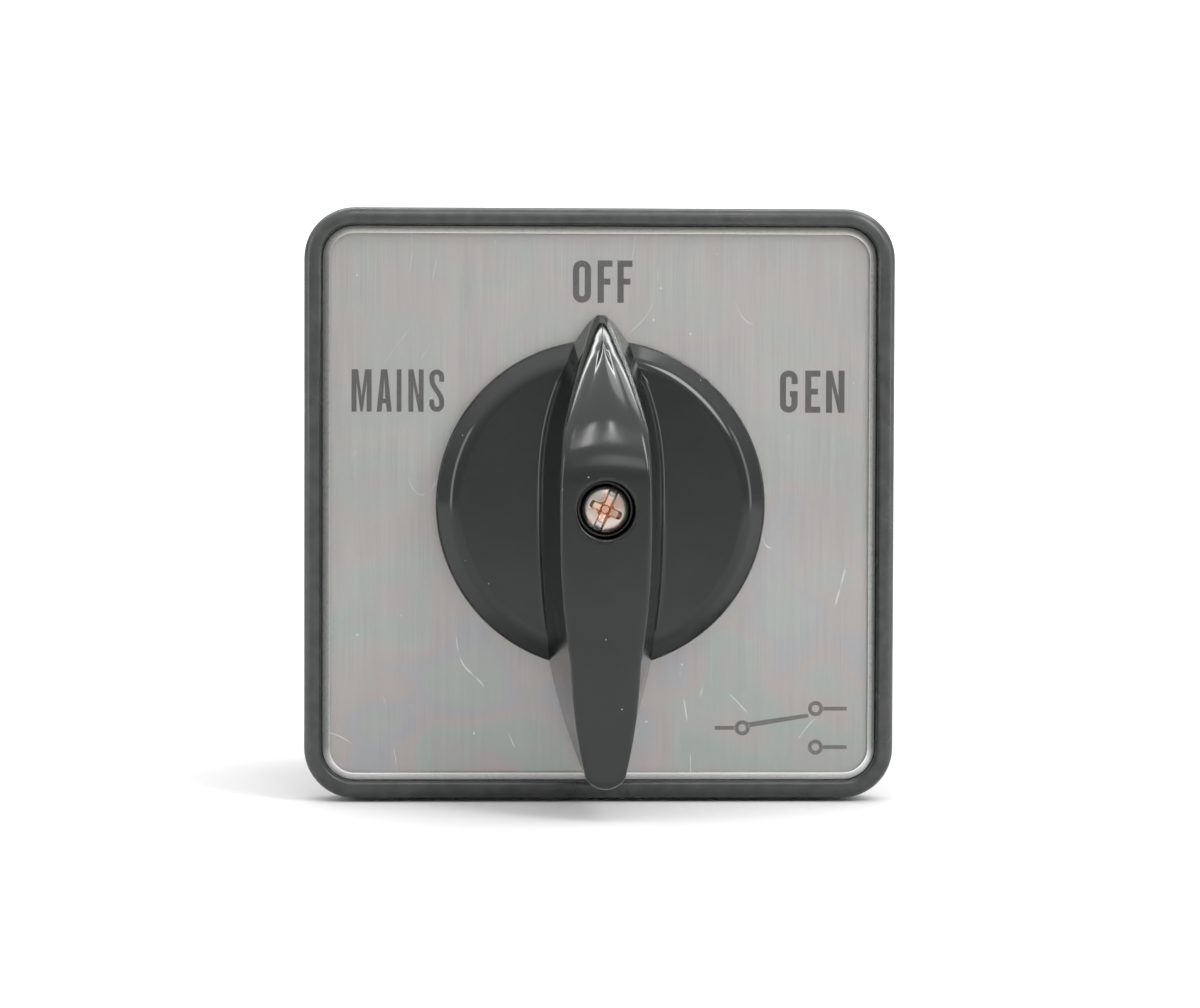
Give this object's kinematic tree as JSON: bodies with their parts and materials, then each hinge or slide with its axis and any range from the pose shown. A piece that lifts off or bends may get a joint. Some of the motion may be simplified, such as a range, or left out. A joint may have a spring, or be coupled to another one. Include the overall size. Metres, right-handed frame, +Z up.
{
  "type": "manual transfer switch",
  "caption": "Panel-mounted rotary cam changeover switch: square bezel, clear-covered brushed legend plate, black pointer knob, stacked contact decks behind the panel.",
  "frame": {"origin": "on the shaft axis, at the back face of the gasket, where it meets the panel's front face", "axes": "+Z up, +X to the operator's right, +Y into the panel along the shaft; the knob faces -Y"},
  "size_m": [0.064, 0.0734, 0.064],
  "materials": {
    "bezel": "satin gloss black moulding",
    "gasket": "smooth black sheet rubber",
    "legend": "brushed and anodised, printed legends",
    "window": "clear moulded plastic, a few scuffs",
    "knob": "glossy black phenolic",
    "passivated_screw": "steel, zinc plated and yellow passivated",
    "zinc_steel": "bright zinc plate",
    "body_moulding": "matt black moulding",
    "cam_moulding": "natural nylon",
    "plunger_moulding": "natural nylon",
    "spring_steel": "bright spring steel",
    "copper": "bare rolled copper",
    "brass": "bare brass with silver contact tips"
  },
  "bodies": {
    "switch_body": {"bezel": "bezel", "panel_gasket": "gasket", "legend_plate": "legend", "clear_window": "window", "mounting_plate": "zinc_steel", "latch_housing": "body_moulding", "stop_pins": "spring_steel", "detent_spring_top": "spring_steel", "detent_spring_bottom": "spring_steel", "end_cover": "body_moulding", "tie_bolts": "zinc_steel", "deck_1_housing": "body_moulding", "deck_1_mains_spring": "spring_steel", "deck_1_gen_spring": "spring_steel", "deck_1_mains_line_contact": "brass", "deck_1_mains_load_contact": "brass", "deck_1_gen_line_contact": "brass", "deck_1_gen_load_contact": "brass", "deck_1_terminal_screws": "passivated_screw", "deck_1_clamp_saddles": "zinc_steel", "deck_1_load_link": "copper", "deck_2_housing": "body_moulding", "deck_2_mains_spring": "spring_steel", "deck_2_gen_spring": "spring_steel", "deck_2_mains_line_contact": "brass", "deck_2_mains_load_contact": "brass", "deck_2_gen_line_contact": "brass", "deck_2_gen_load_contact": "brass", "deck_2_terminal_screws": "passivated_screw", "deck_2_clamp_saddles": "zinc_steel", "deck_2_load_link": "copper"},
    "rotor": {"knob": "knob", "knob_screw": "passivated_screw", "drive_shaft": "zinc_steel", "star_wheel": "cam_moulding", "stop_disc": "spring_steel", "deck_1_cam": "cam_moulding", "deck_2_cam": "cam_moulding"},
    "deck_1_mains_contact_carrier": {"deck_1_mains_plunger": "plunger_moulding", "deck_1_mains_bridge": "copper"},
    "deck_1_gen_contact_carrier": {"deck_1_gen_plunger": "plunger_moulding", "deck_1_gen_bridge": "copper"},
    "deck_2_mains_contact_carrier": {"deck_2_mains_plunger": "plunger_moulding", "deck_2_mains_bridge": "copper"},
    "deck_2_gen_contact_carrier": {"deck_2_gen_plunger": "plunger_moulding", "deck_2_gen_bridge": "copper"}
  },
  "joints": [
    {"name": "knob_turn", "type": "hinge", "parent": "switch_body", "child": "rotor", "pos_m": [0, 0, 0], "axis": [0, 1, 0], "range_deg": [-60, 60], "deforming": ["detent_spring_top", "detent_spring_bottom"]},
    {"name": "deck_1_mains_contact_slide", "type": "slide", "parent": "switch_body", "child": "deck_1_mains_contact_carrier", "axis": [1, 0, 0], "range_m": [-0.0018, 0.0018], "deforming": ["deck_1_mains_spring"]},
    {"name": "deck_1_gen_contact_slide", "type": "slide", "parent": "switch_body", "child": "deck_1_gen_contact_carrier", "axis": [-1, 0, 0], "range_m": [-0.0018, 0.0018], "deforming": ["deck_1_gen_spring"]},
    {"name": "deck_2_mains_contact_slide", "type": "slide", "parent": "switch_body", "child": "deck_2_mains_contact_carrier", "axis": [1, 0, 0], "range_m": [-0.0018, 0.0018], "deforming": ["deck_2_mains_spring"]},
    {"name": "deck_2_gen_contact_slide", "type": "slide", "parent": "switch_body", "child": "deck_2_gen_contact_carrier", "axis": [-1, 0, 0], "range_m": [-0.0018, 0.0018], "deforming": ["deck_2_gen_spring"]}
  ],
  "couplings": [
    {"joint": "deck_1_mains_contact_slide", "follows": "knob_turn", "m_per_rad": -0.0017189},
    {"joint": "deck_1_gen_contact_slide", "follows": "knob_turn", "m_per_rad": 0.0017189},
    {"joint": "deck_2_mains_contact_slide", "follows": "knob_turn", "m_per_rad": -0.0017189},
    {"joint": "deck_2_gen_contact_slide", "follows": "knob_turn", "m_per_rad": 0.0017189}
  ]
}
